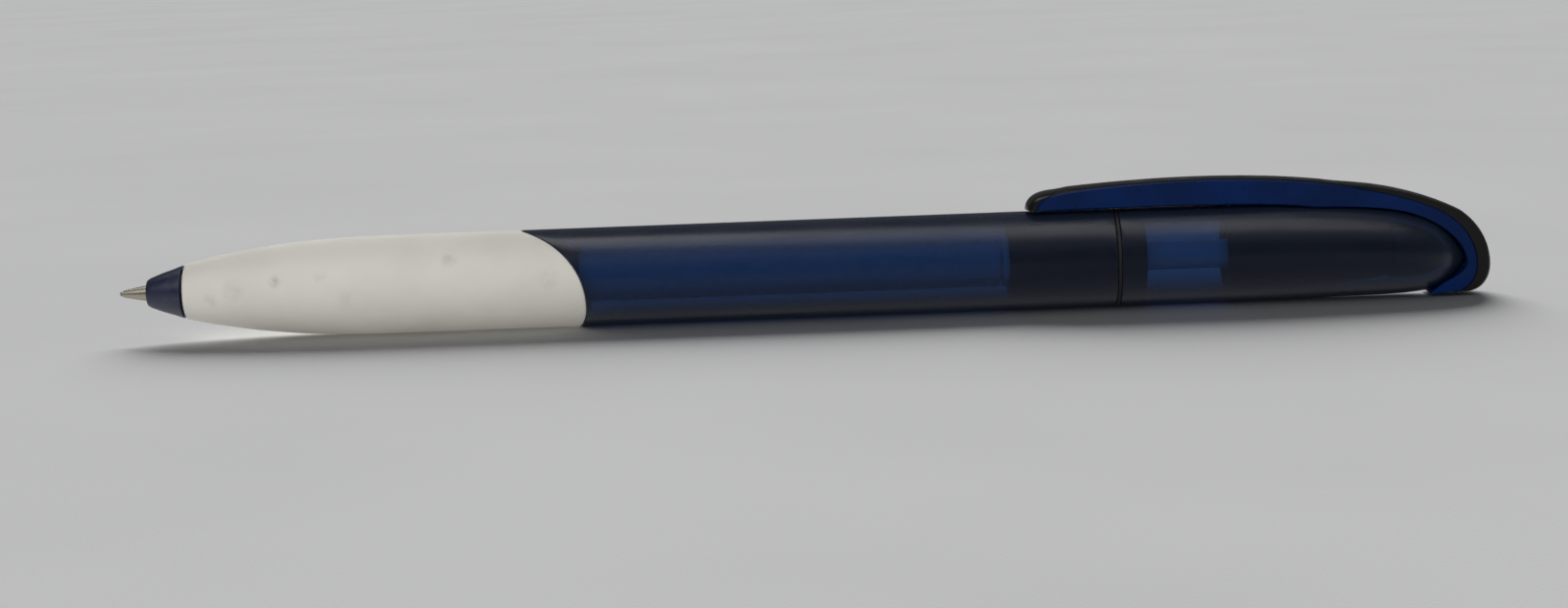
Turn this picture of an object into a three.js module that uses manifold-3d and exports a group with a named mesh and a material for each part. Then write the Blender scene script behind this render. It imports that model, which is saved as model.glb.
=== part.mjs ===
// A twist-action gel pen lying on a table with its clip up and its point out.
//
// Each sub-part is drawn along the pen's own axis: a station is the distance in millimetres from the writing
// tip towards the clip end, and a height is measured up from the axis. The pen group at the end turns that
// into the part's frame: +X from the tip to the clip end, +Z up through the clip, and the origin under the
// middle of the pen, on the surface that it lies on.

import * as THREE from "three";
import { mergeVertices } from "three/addons/utils/BufferGeometryUtils.js";
import Module from "manifold-3d";

const wasm = await Module();
wasm.setup();

// Overall
const PEN_LENGTH = 142.5;
const BARREL_R = 5.1;
const WALL = 0.9;
const BORE_R = BARREL_R - WALL;
const SIDES = 24;
const FIT = 0.25; // between parts that are pressed, screwed or glued together
const RUNNING = 0.3; // between parts that move past each other

// Stations along the pen
const NOSE = 2.9;
const GRIP_START = 6.95;
const BARREL_START = 12.9;
const NOSE_THREAD_END = 18.5;
const GRIP_TOP_END = 39; // the grip's rear edge at the top of the pen
const GRIP_BOTTOM_END = 48.7; // and at its furthest, low on the side
const SEAM = 103.4;
const SEAM_RING = 0.4;
const DOME_END = 139.6;
const CLIP_TIP = 94.3;
const CLIP_ROOT = 125; // where the arm leaves the band
const HOOK_POINT = 135.9;

// Writing point and refill
const BALL_R = 0.25;
const SHANK_R = 1.15;
const TUBE_R = 2.6;
const TUBE_BORE_R = 2.15;
const TUBE_START = 25.9;
const TUBE_END = 91.5;
const REFILL_END = 93.1;
const SPRING = { start: 9.25, end: 23.3, radius: 1.85, wire: 0.2, turns: 8, steps: 12 };

// Twist mechanism: half a turn of the rear barrel draws the refill back by the stroke
const STROKE = 6;
const CROSS_PIN = { station: 119, r: 0.65, reach: 3.1 };
const GROOVE_HALF_WIDTH = 1.2; // along the pen
const SLEEVE_START = 92.4;
const SLEEVE_END = 106.6;
const SLEEVE_R = BORE_R - FIT;
const SLEEVE_BORE_R = 2.8;
const NECK_R = 3.5;
const KEY_REACH = 3.1;
const HEAD = { start: REFILL_END + FIT, end: 96.8, r: SLEEVE_BORE_R - RUNNING };
const SHAFT_R = 1.5;
const CAM = { start: 115, end: 131.7, r: BORE_R - FIT, endR: 3, bore: 2.6 };

// The rear end droops: it bends down towards the hook
const DROOP = { start: 118, end: 139, depth: 1.1 };

// Clip
const CLIP_WIDTH = 5;
const COVER_WIDTH = 4.4;
const LAYER_GAP = 0.1;
const CLIP_LIFT = 0.65; // under the arm, above the barrel

function turned(profile, sides = SIDES) {
  // The middle of each flat lies at the stated radius, and one flat faces straight down.
  const toCorner = 1 / Math.cos(Math.PI / sides);
  const points = profile.map(([station, radius]) => new THREE.Vector2(radius * toCorner, station));
  return new THREE.LatheGeometry(points, sides, Math.PI / sides).rotateZ(-Math.PI / 2);
}

function turnedShell(outer, bore, sides = SIDES) {
  return turned([...outer, ...[...bore].reverse(), outer[0]], sides);
}

function ring(start, end, outer, inner, sides = SIDES) {
  return turnedShell([[start, outer], [end, outer]], [[start, inner], [end, inner]], sides);
}

function droopAt(station) {
  const along = THREE.MathUtils.clamp((station - DROOP.start) / (DROOP.end - DROOP.start), 0, 1);
  return DROOP.depth * along ** 3;
}

function drooped(geometry) {
  const position = geometry.attributes.position;
  for (let i = 0; i < position.count; i += 1) {
    position.setZ(i, position.getZ(i) - droopAt(position.getX(i)));
  }
  return geometry;
}

function plate(shape, width, curveSegments = 8) {
  // A side outline in station and height, given its width across the pen.
  const geometry = new THREE.ExtrudeGeometry(shape, { depth: width, bevelEnabled: false, curveSegments });
  return geometry.translate(0, 0, -width / 2).rotateX(Math.PI / 2);
}

function solid(geometry) {
  const bare = geometry.clone();
  bare.deleteAttribute("normal");
  bare.deleteAttribute("uv");
  const merged = mergeVertices(bare);
  const corners = merged.index.array;
  const triVerts = [];
  for (let i = 0; i < corners.length; i += 3) {
    const [a, b, c] = [corners[i], corners[i + 1], corners[i + 2]];
    if (a !== b && b !== c && c !== a) triVerts.push(a, b, c);
  }
  return new wasm.Manifold(new wasm.Mesh({
    numProp: 3,
    vertProperties: new Float32Array(merged.attributes.position.array),
    triVerts: new Uint32Array(triVerts),
  }));
}

function meshed(body) {
  const { vertProperties, triVerts } = body.getMesh();
  const geometry = new THREE.BufferGeometry();
  geometry.setAttribute("position", new THREE.BufferAttribute(vertProperties, 3));
  geometry.setIndex(new THREE.BufferAttribute(triVerts, 1));
  geometry.computeVertexNormals();
  return geometry;
}

function cut(base, ...tools) {
  return meshed(tools.reduce((body, tool) => body.subtract(solid(tool)), solid(base)));
}

// Body of the pen

function noseCone() {
  const outer = [
    [NOSE, 1.2], [3.15, 1.42], [3.7, 1.68], [4.7, 2.1], [5.7, 2.4], [6.4, 2.65], [GRIP_START - FIT, 2.8],
    [GRIP_START - FIT, 2.3], [9.2, 2.65], [12.6, 3.1],
    [12.6, 2.55], [NOSE_THREAD_END, 2.55],
  ];
  const bore = [[NOSE, 1], [4.1, 1], [4.7, 1.45], [8.6, 1.45], [9, 2.15], [NOSE_THREAD_END, 2.15]];
  return turnedShell(outer, bore);
}

function gripEdge(inset) {
  // Everything ahead of the grip's scooped rear edge, seen from the side; the inset draws the edge forward.
  const tall = BARREL_R + 1.5;
  const end = GRIP_BOTTOM_END - inset;
  const top = GRIP_TOP_END - inset;
  const edge = new THREE.Shape();
  edge.moveTo(0, tall);
  edge.lineTo(top - 1.5, tall);
  edge.lineTo(top, BARREL_R + 0.3);
  edge.bezierCurveTo(top + 6.9, BARREL_R + 0.25, end, 1.6, end, -2.6);
  edge.bezierCurveTo(end, -4, end - 0.5, -4.8, end - 1.2, -BARREL_R - 0.3);
  edge.lineTo(end - 1.2, -tall);
  edge.lineTo(0, -tall);
  edge.closePath();
  return plate(edge, 4 * BARREL_R, 10);
}

function gripSleeve() {
  const outer = [
    [GRIP_START, 2.85], [8.5, 3.2], [10, 3.52], [13, 4.05], [16, 4.46], [20, 4.86], [25, BARREL_R],
    [GRIP_BOTTOM_END + 1, BARREL_R],
  ];
  const inner = [
    [GRIP_START, 2.6], [12.9, 3.5], [16, 3.9], [20, 4.3], [GRIP_BOTTOM_END + 1, 4.3],
  ];
  return meshed(solid(turnedShell(outer, inner)).intersect(solid(gripEdge(0))));
}

function frontBarrel() {
  // A core under the grip and a full-width tube behind its edge, bored right through.
  const coreR = 4.05;
  const core = turned([
    [BARREL_START, 0], [BARREL_START, 3.25], [16, 3.6], [20, coreR], [GRIP_BOTTOM_END + 3, coreR],
    [GRIP_BOTTOM_END + 3, 0],
  ]);
  const tube = turned([
    [GRIP_TOP_END - 2, 0], [GRIP_TOP_END - 2, BARREL_R], [SEAM, BARREL_R], [SEAM, 0],
  ]);
  const bore = turned([
    [0, 0], [0, 2.8], [NOSE_THREAD_END + 1, 2.8], [NOSE_THREAD_END + 1.5, 3.1], [46, 3.1], [50, BORE_R],
    [SEAM + 1, BORE_R], [SEAM + 1, 0],
  ]);
  const behindGrip = solid(tube).subtract(solid(gripEdge(-FIT)));
  return meshed(solid(core).add(behindGrip).subtract(solid(bore)));
}

function rearBarrel() {
  const outer = [
    [SEAM + SEAM_RING + 0.15, BARREL_R], [120, BARREL_R], [125, 4.97], [130.2, 4.7], [133, 4.4],
    [135, 4.02], [136, 3.75], [137, 3.25], [138, 2.45], [139, 1.5], [DOME_END, 1.2],
  ];
  const inner = [
    [SEAM + SEAM_RING + 0.15, BORE_R], [120, BORE_R], [125, 4.07], [130.2, 3.75], [133, 3.4],
    [135, 3.05], [136.4, 2.5], [137.6, 1.8], [138.3, 1.25],
  ];
  return drooped(turnedShell(outer, inner));
}

// Twist mechanism

function guideSleeve() {
  const outer = [
    [SLEEVE_START, SLEEVE_R], [SEAM - 0.1, SLEEVE_R], [SEAM - 0.1, NECK_R],
    [105.2, NECK_R], [105.2, 3.15], [105.65, 3.15], [105.65, NECK_R],
    [105.8, NECK_R], [105.8, 3.3], [106.4, 3.3], [106.4, NECK_R], [SLEEVE_END, NECK_R],
  ];
  const sleeve = turnedShell(outer, [[SLEEVE_START, SLEEVE_BORE_R], [SLEEVE_END, SLEEVE_BORE_R]]);
  const slotEnd = HEAD.end + STROKE + 0.3;
  const slotStart = SLEEVE_START - 1;
  const keySlots = new THREE.BoxGeometry(slotEnd - slotStart, 2 * (KEY_REACH + 0.25), 1.5);
  return cut(sleeve, keySlots.translate((slotStart + slotEnd) / 2, 0, 0));
}

function camGroove(startAngle) {
  // The pin's path as the cam turns past it: half a turn of helix, a little longer at each end.
  // It is cut from the bore outwards and leaves a skin, so the cam is smooth outside.
  const overrun = 0.12;
  const depth = 2;
  const middle = CROSS_PIN.reach + 0.15 - depth / 2;
  const groove = new THREE.BoxGeometry(1 + 2 * overrun, 2 * GROOVE_HALF_WIDTH, depth, 24);
  const position = groove.attributes.position;
  for (let i = 0; i < position.count; i += 1) {
    const travel = position.getX(i) + 0.5;
    const angle = startAngle - Math.PI * travel;
    const radius = middle + position.getZ(i);
    const station = CROSS_PIN.station + STROKE * travel - position.getY(i);
    position.setXYZ(i, station, -radius * Math.sin(angle), radius * Math.cos(angle));
  }
  return groove;
}

function camBarrel() {
  const outer = [[CAM.start, CAM.r], [123, CAM.r], [CAM.end, CAM.endR]];
  const sleeve = turnedShell(outer, [[CAM.start, CAM.bore], [CAM.end, CAM.bore]]);
  return cut(sleeve, camGroove(Math.PI / 2), camGroove(-Math.PI / 2));
}

function pusher() {
  const body = turned([
    [HEAD.start, 0], [HEAD.start, HEAD.r], [HEAD.end, HEAD.r], [HEAD.end, SHAFT_R],
    [CROSS_PIN.station + 1.2, SHAFT_R], [CROSS_PIN.station + 1.2, 0],
  ], 16);
  const pin = new THREE.CylinderGeometry(CROSS_PIN.r, CROSS_PIN.r, 2 * CROSS_PIN.reach, 10);
  const keys = new THREE.BoxGeometry(HEAD.end - HEAD.start - 0.4, 2 * KEY_REACH, 0.9);
  return meshed(solid(body)
    .add(solid(pin.translate(CROSS_PIN.station, 0, 0)))
    .add(solid(keys.translate((HEAD.start + HEAD.end) / 2, 0, 0))));
}

function retainingRing() {
  const full = ring(105.25, 105.6, 3.95, 3.25);
  const mouth = new THREE.BoxGeometry(2, 2.2, 3).translate(105.4, 0, -3.5);
  return cut(full, mouth);
}

function endPlug() {
  // Fills the dome and reaches through its end as a stud that the clip is riveted to.
  return drooped(turned([
    [132, 0], [132, 2.9], [133.3, 2.9], [135, 2.7], [136.4, 2.15], [137.4, 1.5], [138, 0.9], [140.2, 0.9], [140.2, 0],
  ], 16));
}

// Refill

function writingTip() {
  const outer = [
    [0.32, 0.33], [1.6, 0.6], [NOSE, 0.85], [4.4, 0.88], [5.2, SHANK_R], [13.5, SHANK_R],
  ];
  const bore = [[0.32, 0.28], [0.6, 0.28], [0.8, 0.12], [3, 0.12], [3.4, 0.6], [13.5, 0.6]];
  return turnedShell(outer, bore, 16);
}

function tipHolder() {
  const shoulder = SPRING.end + 0.3;
  const outer = [
    [10.9, 1.5], [shoulder, 1.5], [shoulder, 2.45], [TUBE_START - 0.3, 2.45],
    [TUBE_START - 0.3, 1.9], [31, 1.9],
  ];
  const bore = [[10.9, 1.28], [13.8, 1.28], [13.8, 0.7], [31, 0.7]];
  return turnedShell(outer, bore, 16);
}

function refillPlug() {
  return turnedShell(
    [[88.5, 1.9], [TUBE_END + 0.3, 1.9], [TUBE_END + 0.3, TUBE_R], [REFILL_END, TUBE_R]],
    [[88.5, 0.5], [REFILL_END, 0.5]],
    16,
  );
}

function returnSpring() {
  const { start, end, radius, wire, turns, steps } = SPRING;
  const coil = new THREE.Curve();
  coil.getPoint = (u) => {
    const angle = 2 * Math.PI * turns * u;
    const station = start + wire + u * (end - start - 2 * wire);
    return new THREE.Vector3(station, radius * Math.cos(angle), radius * Math.sin(angle));
  };
  const section = new THREE.Shape().absarc(0, 0, wire, 0, 2 * Math.PI);
  return new THREE.ExtrudeGeometry(section, {
    steps: turns * steps, extrudePath: coil, curveSegments: 3, bevelEnabled: false,
  });
}

// Clip

function armCover() {
  const root = CLIP_ROOT - 0.2;
  const side = new THREE.Shape();
  side.moveTo(CLIP_TIP, BARREL_R + 0.25);
  side.bezierCurveTo(CLIP_TIP + 0.1, 6.5, 96.2, 7.35, 99, 7.48);
  side.bezierCurveTo(106, 8.15, 116, 8.45, root, 7.38);
  side.lineTo(root, 6.88);
  side.bezierCurveTo(116, 7.95, 106, 7.65, 99, 6.98);
  side.bezierCurveTo(96.8, 6.9, 95.1, 6.4, 94.9, BARREL_R + 0.25);
  side.closePath();
  return plate(side, COVER_WIDTH);
}

function clipArm() {
  const root = CLIP_ROOT - 0.2;
  const under = BARREL_R + CLIP_LIFT;
  const side = new THREE.Shape();
  side.moveTo(95.3, under);
  side.bezierCurveTo(95.6, 6.4, 97.3, 6.82, 99, 6.98 - LAYER_GAP);
  side.bezierCurveTo(106, 7.65 - LAYER_GAP, 116, 7.95 - LAYER_GAP, root, 6.88 - LAYER_GAP);
  side.lineTo(root, 5.2);
  side.bezierCurveTo(123, 5.5, 121, under, 119, under);
  side.closePath();
  return plate(side, CLIP_WIDTH);
}

function bandCover() {
  const side = new THREE.Shape();
  side.moveTo(CLIP_ROOT + 0.2, 7.33);
  side.bezierCurveTo(130, 6.6, 136, 5.2, 139.4, 3.6);
  side.bezierCurveTo(141.4, 2.6, PEN_LENGTH, 0, PEN_LENGTH, -1.85);
  side.bezierCurveTo(PEN_LENGTH, -3.7, 141.2, -4.85, 139.4, -4.85);
  side.lineTo(138.2, -4.82);
  side.bezierCurveTo(139.6, -4.6, 140.7, -3.4, 140.7, -1.75);
  side.bezierCurveTo(140.7, 0.4, 139.5, 2, 137.5, 3.2);
  side.bezierCurveTo(134.8, 4.7, 130, 6.1, CLIP_ROOT + 0.2, 6.82);
  side.closePath();
  return plate(side, COVER_WIDTH);
}

function clipBand() {
  const side = new THREE.Shape();
  side.moveTo(CLIP_ROOT + 0.2, 6.82 - LAYER_GAP);
  side.bezierCurveTo(130, 6.1 - LAYER_GAP, 134.8, 4.7 - LAYER_GAP, 137.5, 3.2 - LAYER_GAP);
  side.bezierCurveTo(139.4, 2, 140.6, 0.4, 140.6, -1.75);
  side.bezierCurveTo(140.6, -3.3, 139.6, -4.5, 138.1, -4.75);
  side.lineTo(HOOK_POINT, -4.85);
  side.lineTo(137.1, -4.45);
  side.bezierCurveTo(138.9, -4.1, 140, -3.2, 140, -2);
  side.bezierCurveTo(140, 0.2, 138.6, 2.3, 135.3, 3.62);
  side.bezierCurveTo(132.5, 4.6, 129, 5, CLIP_ROOT + 0.2, 5.2);
  side.closePath();
  const studHole = new THREE.CylinderGeometry(1.15, 1.15, 1.4, 12).rotateZ(Math.PI / 2);
  return cut(plate(side, CLIP_WIDTH), studHole.translate(139.8, 0, -DROOP.depth));
}

// Materials: colour, roughness, metalness

const FINISHES = {
  ivoryRubber: [0xc3c0b8, 0.75, 0],
  bluePlastic: [0x0c2348, 0.2, 0],
  blackPlastic: [0x17181c, 0.3, 0],
  glossBlack: [0x0e0e10, 0.12, 0],
  darkNose: [0x1d2230, 0.35, 0],
  tipMetal: [0x8a8474, 0.3, 1],
  springSteel: [0x9a9da2, 0.3, 1],
  naturalPlastic: [0xd8dadb, 0.5, 0],
  ink: [0x06070c, 0.3, 0],
  grease: [0xb9a860, 0.4, 0],
  blackRubber: [0x151515, 0.85, 0],
};

const pen = new THREE.Group();
pen.position.set(-PEN_LENGTH / 2, 0, BARREL_R);

function place(name, geometry, finish) {
  const [color, roughness, metalness] = FINISHES[finish];
  const mesh = new THREE.Mesh(geometry, new THREE.MeshStandardMaterial({ color, roughness, metalness }));
  mesh.name = name;
  pen.add(mesh);
}

place("grip_sleeve", gripSleeve(), "ivoryRubber");
place("front_barrel", frontBarrel(), "bluePlastic");
place("nose_cone", noseCone(), "darkNose");
place("guide_sleeve", guideSleeve(), "blackPlastic");
place("seam_ring", ring(SEAM + 0.05, SEAM + SEAM_RING, BARREL_R - 0.2, NECK_R + 0.15), "blackPlastic");
place("retaining_ring", retainingRing(), "springSteel");
place("friction_ring", turnedShell(
  [[105.85, 3.7], [106, 3.95], [106.2, 3.95], [106.35, 3.7]],
  [[105.85, 3.5], [106, 3.4], [106.2, 3.4], [106.35, 3.5]],
), "blackRubber");

place("rear_barrel", rearBarrel(), "bluePlastic");
place("neck_bush", ring(104.1, 105, BORE_R - 0.2, NECK_R + 0.15), "blackPlastic");
place("cam_barrel", camBarrel(), "blackPlastic");
place("end_plug", endPlug(), "blackPlastic");
place("clip_band", clipBand(), "bluePlastic");
place("band_cover", bandCover(), "glossBlack");

place("clip_arm", clipArm(), "bluePlastic");
place("arm_cover", armCover(), "glossBlack");

place("tip_ball", new THREE.SphereGeometry(BALL_R, 12, 8).translate(BALL_R, 0, 0), "tipMetal");
place("writing_tip", writingTip(), "tipMetal");
place("tip_holder", tipHolder(), "naturalPlastic");
place("ink_tube", ring(TUBE_START, TUBE_END, TUBE_R, TUBE_BORE_R, 16), "naturalPlastic");
place("ink_column", turned([[31.3, 0], [31.3, 1.85], [78, 1.85], [78, 0]], 16), "ink");
place("ink_follower", turned([[78.3, 0], [78.3, 1.85], [82, 1.85], [82, 0]], 16), "grease");
place("refill_plug", refillPlug(), "naturalPlastic");
place("return_spring", returnSpring(), "springSteel");
place("pusher", pusher(), "naturalPlastic");

export default pen;
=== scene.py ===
"""Gel pen: the fine surfaces and finishes, laid out as an add-on and run as a script.

Shapes are given along the pen's axis in millimetres: a station is the distance from the writing point towards
the clip end, a radius is measured from the axis, and a height is measured up from it. at() turns them into
the frame's metres.
"""

import math

import bmesh
import bpy
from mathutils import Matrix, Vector


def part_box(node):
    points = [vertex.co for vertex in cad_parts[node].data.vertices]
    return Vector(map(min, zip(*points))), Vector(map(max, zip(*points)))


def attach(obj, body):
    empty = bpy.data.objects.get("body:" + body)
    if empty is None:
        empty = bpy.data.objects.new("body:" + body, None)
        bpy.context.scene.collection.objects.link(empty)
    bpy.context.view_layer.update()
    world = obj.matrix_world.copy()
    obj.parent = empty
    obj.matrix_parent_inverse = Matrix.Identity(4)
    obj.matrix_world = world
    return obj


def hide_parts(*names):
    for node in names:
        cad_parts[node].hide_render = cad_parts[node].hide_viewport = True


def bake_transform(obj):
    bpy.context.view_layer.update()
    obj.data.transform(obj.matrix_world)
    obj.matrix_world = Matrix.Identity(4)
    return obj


bl_info = {
    "name": "Gel Pen",
    "version": (1, 0, 0),
    "blender": (4, 5, 0),
    "location": "3D View > Sidebar > Gel Pen",
    "description": "Builds a twist-action gel pen piece by piece around its packed frame",
    "category": "Add Mesh",
}

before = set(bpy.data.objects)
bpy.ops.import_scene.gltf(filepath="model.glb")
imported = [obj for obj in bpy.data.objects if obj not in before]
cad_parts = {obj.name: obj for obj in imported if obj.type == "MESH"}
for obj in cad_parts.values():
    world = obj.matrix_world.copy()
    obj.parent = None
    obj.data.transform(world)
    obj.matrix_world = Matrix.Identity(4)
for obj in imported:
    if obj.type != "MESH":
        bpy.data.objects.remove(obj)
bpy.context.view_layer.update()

MM = 0.001
TIP_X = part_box("tip_ball")[0][0]
BARREL_LOW, BARREL_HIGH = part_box("front_barrel")
AXIS_Z = (BARREL_LOW[2] + BARREL_HIGH[2]) / 2
BARREL_R = (BARREL_HIGH[2] - BARREL_LOW[2]) / 2 / MM
CREASE = 32  # degrees; a sharper edge is kept as a crease
MIDDLE = 71  # station that the softboxes stand round and point at
DROOP_START, DROOP_LENGTH, DROOP_DEPTH = 118, 21, 1.1  # how the domed end sinks below the axis
SLEEVE_R = 3.95  # mechanism parts that fit the barrel's bore
TUBE_R, INK_R = 2.6, 1.85  # outside of the ink tube, and the ink inside it
PIN_STATION, PIN_R, PIN_REACH, STROKE = 119, 0.65, 3.05, 6  # the pusher's cross pin and its travel
GROOVE_R, GROOVE_HALF = 3.25, 1.2  # depth of the cam's grooves from the axis, and half their width


def low(node):
    """Station of a node's end nearest the writing point."""
    return (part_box(node)[0][0] - TIP_X) / MM


def high(node):
    """Station of a node's end nearest the clip end."""
    return (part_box(node)[1][0] - TIP_X) / MM


GRIP_START, GRIP_END = low("grip_sleeve"), high("grip_sleeve")
SEAM = high("front_barrel")
REAR_START, DOME_END = low("rear_barrel"), high("rear_barrel")
CLIP_TIP, CLIP_END = low("arm_cover"), high("band_cover")


# Sizes and colours that a user would change


def millimetres(name, description, default):
    """A length that is shown and stored in millimetres."""
    return bpy.props.FloatProperty(name=name, description=description, default=default, precision=3, min=0)


def colour(name, description, default):
    """A linear colour."""
    return bpy.props.FloatVectorProperty(
        name=name, description=description, default=default, subtype="COLOR", size=3, min=0, max=1
    )


class GelPenSizes(bpy.types.PropertyGroup):
    """Sizes of the pen's fine surfaces, in millimetres."""

    wall: millimetres("Wall", "Thickness of the barrel's wall, mm", 0.9)
    grip_wall: millimetres("Grip wall", "Thickness of the grip sleeve, mm", 0.75)
    edge_gap: millimetres("Edge gap", "Gap between the grip's rear edge and the barrel, mm", 0.06)
    edge_round: millimetres("Edge rounding", "Rounding of the grip's rear edge, mm", 0.28)
    clip_width: millimetres("Clip width", "Width of the clip's spine, mm", 5.0)
    cover_width: millimetres("Cover width", "Width of the clip's cover round its end, mm", 4.9)
    cover_crown: millimetres("Cover crown", "How far the cover's edges fall below its ridge, mm", 0.35)
    clip_lip: millimetres("Clip lip", "Width of the spine's rim beside the inlaid cover, mm", 0.35)
    wire: millimetres("Spring wire", "Radius of the return spring's wire, mm", 0.2)
    turns: bpy.props.IntProperty(name="Spring turns", description="Working turns of the spring", default=8)
    sides: bpy.props.IntProperty(name="Sides", description="Faces round the pen", default=128, min=16)


class GelPenColours(bpy.types.PropertyGroup):
    """Colours of the pen's finishes."""

    grip: colour("Grip", "Soft sleeve", (0.62, 0.60, 0.545))
    grip_soil: colour("Grip soil", "Handling marks on the sleeve", (0.20, 0.20, 0.20))
    barrel: colour("Barrel", "Surface colour of the tinted barrel", (0.008, 0.012, 0.024))
    barrel_tint: colour("Barrel tint", "What the barrel's wall lets through", (0.18, 0.40, 0.76))
    nose: colour("Nose", "Nose cone", (0.010, 0.013, 0.035))
    clip: colour("Clip", "Clip spine", (0.0005, 0.0115, 0.066))
    cover: colour("Cover", "Clip cover", (0.004, 0.004, 0.0045))
    mechanism: colour("Mechanism", "Black moulded parts", (0.008, 0.008, 0.009))
    point: colour("Point", "Metal point", (0.34, 0.31, 0.25))


class GelPenStudio(bpy.types.PropertyGroup):
    """Camera, lamps and floor."""

    distance: bpy.props.FloatProperty(
        name="Distance", description="Camera distance", default=0.315, unit="LENGTH")
    elevation: bpy.props.FloatProperty(
        name="Elevation", description="Camera height angle", default=math.radians(7.5), subtype="ANGLE")
    roll: bpy.props.FloatProperty(
        name="Roll", description="Camera roll", default=math.radians(2.15), subtype="ANGLE")
    lens: bpy.props.FloatProperty(name="Lens", description="Focal length, mm", default=69.5)
    paper: colour("Paper", "Floor", (0.72, 0.72, 0.72))


# Meshes


def at(station, height=0.0, side=0.0):
    """A point of the pen in the frame's metres."""
    return Vector((TIP_X + station * MM, side * MM, AXIS_Z + height * MM))


def droop(station):
    """How far the rear end has bent down at a station, mm."""
    along = min(max((station - DROOP_START) / DROOP_LENGTH, 0), 1)
    return DROOP_DEPTH * along**3


def eased(profile):
    """A profile of (station, radius) or (station, radius, rounding) with its rounded corners as arcs."""
    points = []
    for i, corner in enumerate(profile):
        if len(corner) == 2 or i in (0, len(profile) - 1):
            points.append(Vector(corner[:2]))
            continue
        here = Vector(corner[:2])
        before = Vector(profile[i - 1][:2]) - here
        after = Vector(profile[i + 1][:2]) - here
        start = here + before.normalized() * min(corner[2], before.length * 0.5)
        end = here + after.normalized() * min(corner[2], after.length * 0.5)
        for step in range(5):
            t = step / 4
            points.append(start.lerp(here, t).lerp(here.lerp(end, t), t))
    return [tuple(p) for p in points]


def flowing(points, steps=6):
    """A smooth curve through (station, radius) points."""
    vectors = [Vector(p) for p in points]
    vectors = [2 * vectors[0] - vectors[1], *vectors, 2 * vectors[-1] - vectors[-2]]
    out = []
    for a, b, c, d in zip(vectors, vectors[1:], vectors[2:], vectors[3:]):
        for step in range(steps):
            t = step / steps
            out.append(tuple(0.5 * (
                2 * b + (c - a) * t + (2 * a - 5 * b + 4 * c - d) * t**2 + (3 * b - a - 3 * c + d) * t**3
            )))
    out.append(tuple(points[-1]))
    return out


def bezier(start, *segments, steps=20):
    """Points along cubic segments, each given as two handles and an end; a segment of one point is a line."""
    points = [Vector(start)]
    for segment in segments:
        a, d = points[-1], Vector(segment[-1])
        if len(segment) == 3:
            b, c = Vector(segment[0]), Vector(segment[1])
        else:
            b, c = a.lerp(d, 1 / 3), a.lerp(d, 2 / 3)
        for step in range(1, steps + 1):
            t = step / steps
            points.append(a * (1 - t)**3 + b * 3 * t * (1 - t)**2 + c * 3 * t**2 * (1 - t) + d * t**3)
    return points


def lofted(name, rings, closed=False, sharp=CREASE):
    """A mesh object through rings of points. A ring of one point is a pole, and a closed loft joins up."""
    mesh = bmesh.new()
    rows = [[mesh.verts.new(p) for p in ring] for ring in rings]
    pairs = list(zip(rows, rows[1:]))
    if closed:
        pairs.append((rows[-1], rows[0]))
    for first, second in pairs:
        count = max(len(first), len(second))
        for i in range(count):
            j = (i + 1) % count
            corners = [first[i % len(first)], first[j % len(first)],
                       second[j % len(second)], second[i % len(second)]]
            corners = list(dict.fromkeys(corners))
            if len(corners) > 2:
                mesh.faces.new(corners)
    if not closed:
        for row in (rows[0], rows[-1]):
            if len(row) > 2:
                mesh.faces.new(row)
    bmesh.ops.recalc_face_normals(mesh, faces=mesh.faces)
    return finished(name, mesh, sharp)


def finished(name, mesh, sharp=CREASE):
    """Turns a bmesh into a smooth-shaded object with its creases kept."""
    data = bpy.data.meshes.new(name)
    mesh.to_mesh(data)
    mesh.free()
    data.shade_smooth()
    data.set_sharp_from_angle(angle=math.radians(sharp))
    piece = bpy.data.objects.new(name, data)
    bpy.context.scene.collection.objects.link(piece)
    return piece


def turned(name, profile, sides, bend=None, closed=True):
    """A turned piece from a profile. bend(station, radius, angle) may move a point before it is placed."""
    rings = []
    for station, radius in profile:
        if radius < 1e-6:
            rings.append([at(station, -droop(station) if bend is drooped else 0)])
            continue
        ring = []
        for i in range(sides):
            angle = 2 * math.pi * i / sides
            s, r, drop = bend(station, radius, angle) if bend else (station, radius, 0)
            ring.append(at(s, r * math.cos(angle) - drop, r * math.sin(angle)))
        rings.append(ring)
    return lofted(name, rings, closed=closed)


def lined(piece, lining):
    """Gives the faces inside a turned shell a second finish."""
    piece.data.materials.append(lining.material)
    for face in piece.data.polygons:
        station = (face.center.x - TIP_X) / MM
        outward = Vector((0, face.center.y, face.center.z - AXIS_Z + droop(station) * MM))
        if face.normal.dot(outward.normalized()) < -0.3:
            face.material_index = 1


def drooped(station, radius, angle):
    """Bends a point of the rear end down."""
    return station, radius, droop(station)


def grip_edge():
    """The grip's scooped rear edge as (height, station) pairs from the bottom of the pen to the top."""
    top = 39
    edge = bezier((top, 5.4), ((top + 6.9, 5.35), (GRIP_END, 1.6), (GRIP_END, -2.6)),
                  ((GRIP_END, -4.0), (GRIP_END - 0.5, -4.8), (GRIP_END - 1.2, -5.4)), steps=40)
    return sorted((point.y, point.x) for point in edge)


EDGE = grip_edge()


def edge_station(angle, radius=BARREL_R):
    """Station of the grip's rear edge at an angle from the top of the pen."""
    height = radius * math.cos(angle)
    for (low_height, low_station), (high_height, high_station) in zip(EDGE, EDGE[1:]):
        if low_height <= height <= high_height:
            share = (height - low_height) / max(high_height - low_height, 1e-9)
            return low_station + (high_station - low_station) * share
    return EDGE[-1][1]


UNDER, RIM, RIDGE = range(3)


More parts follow.
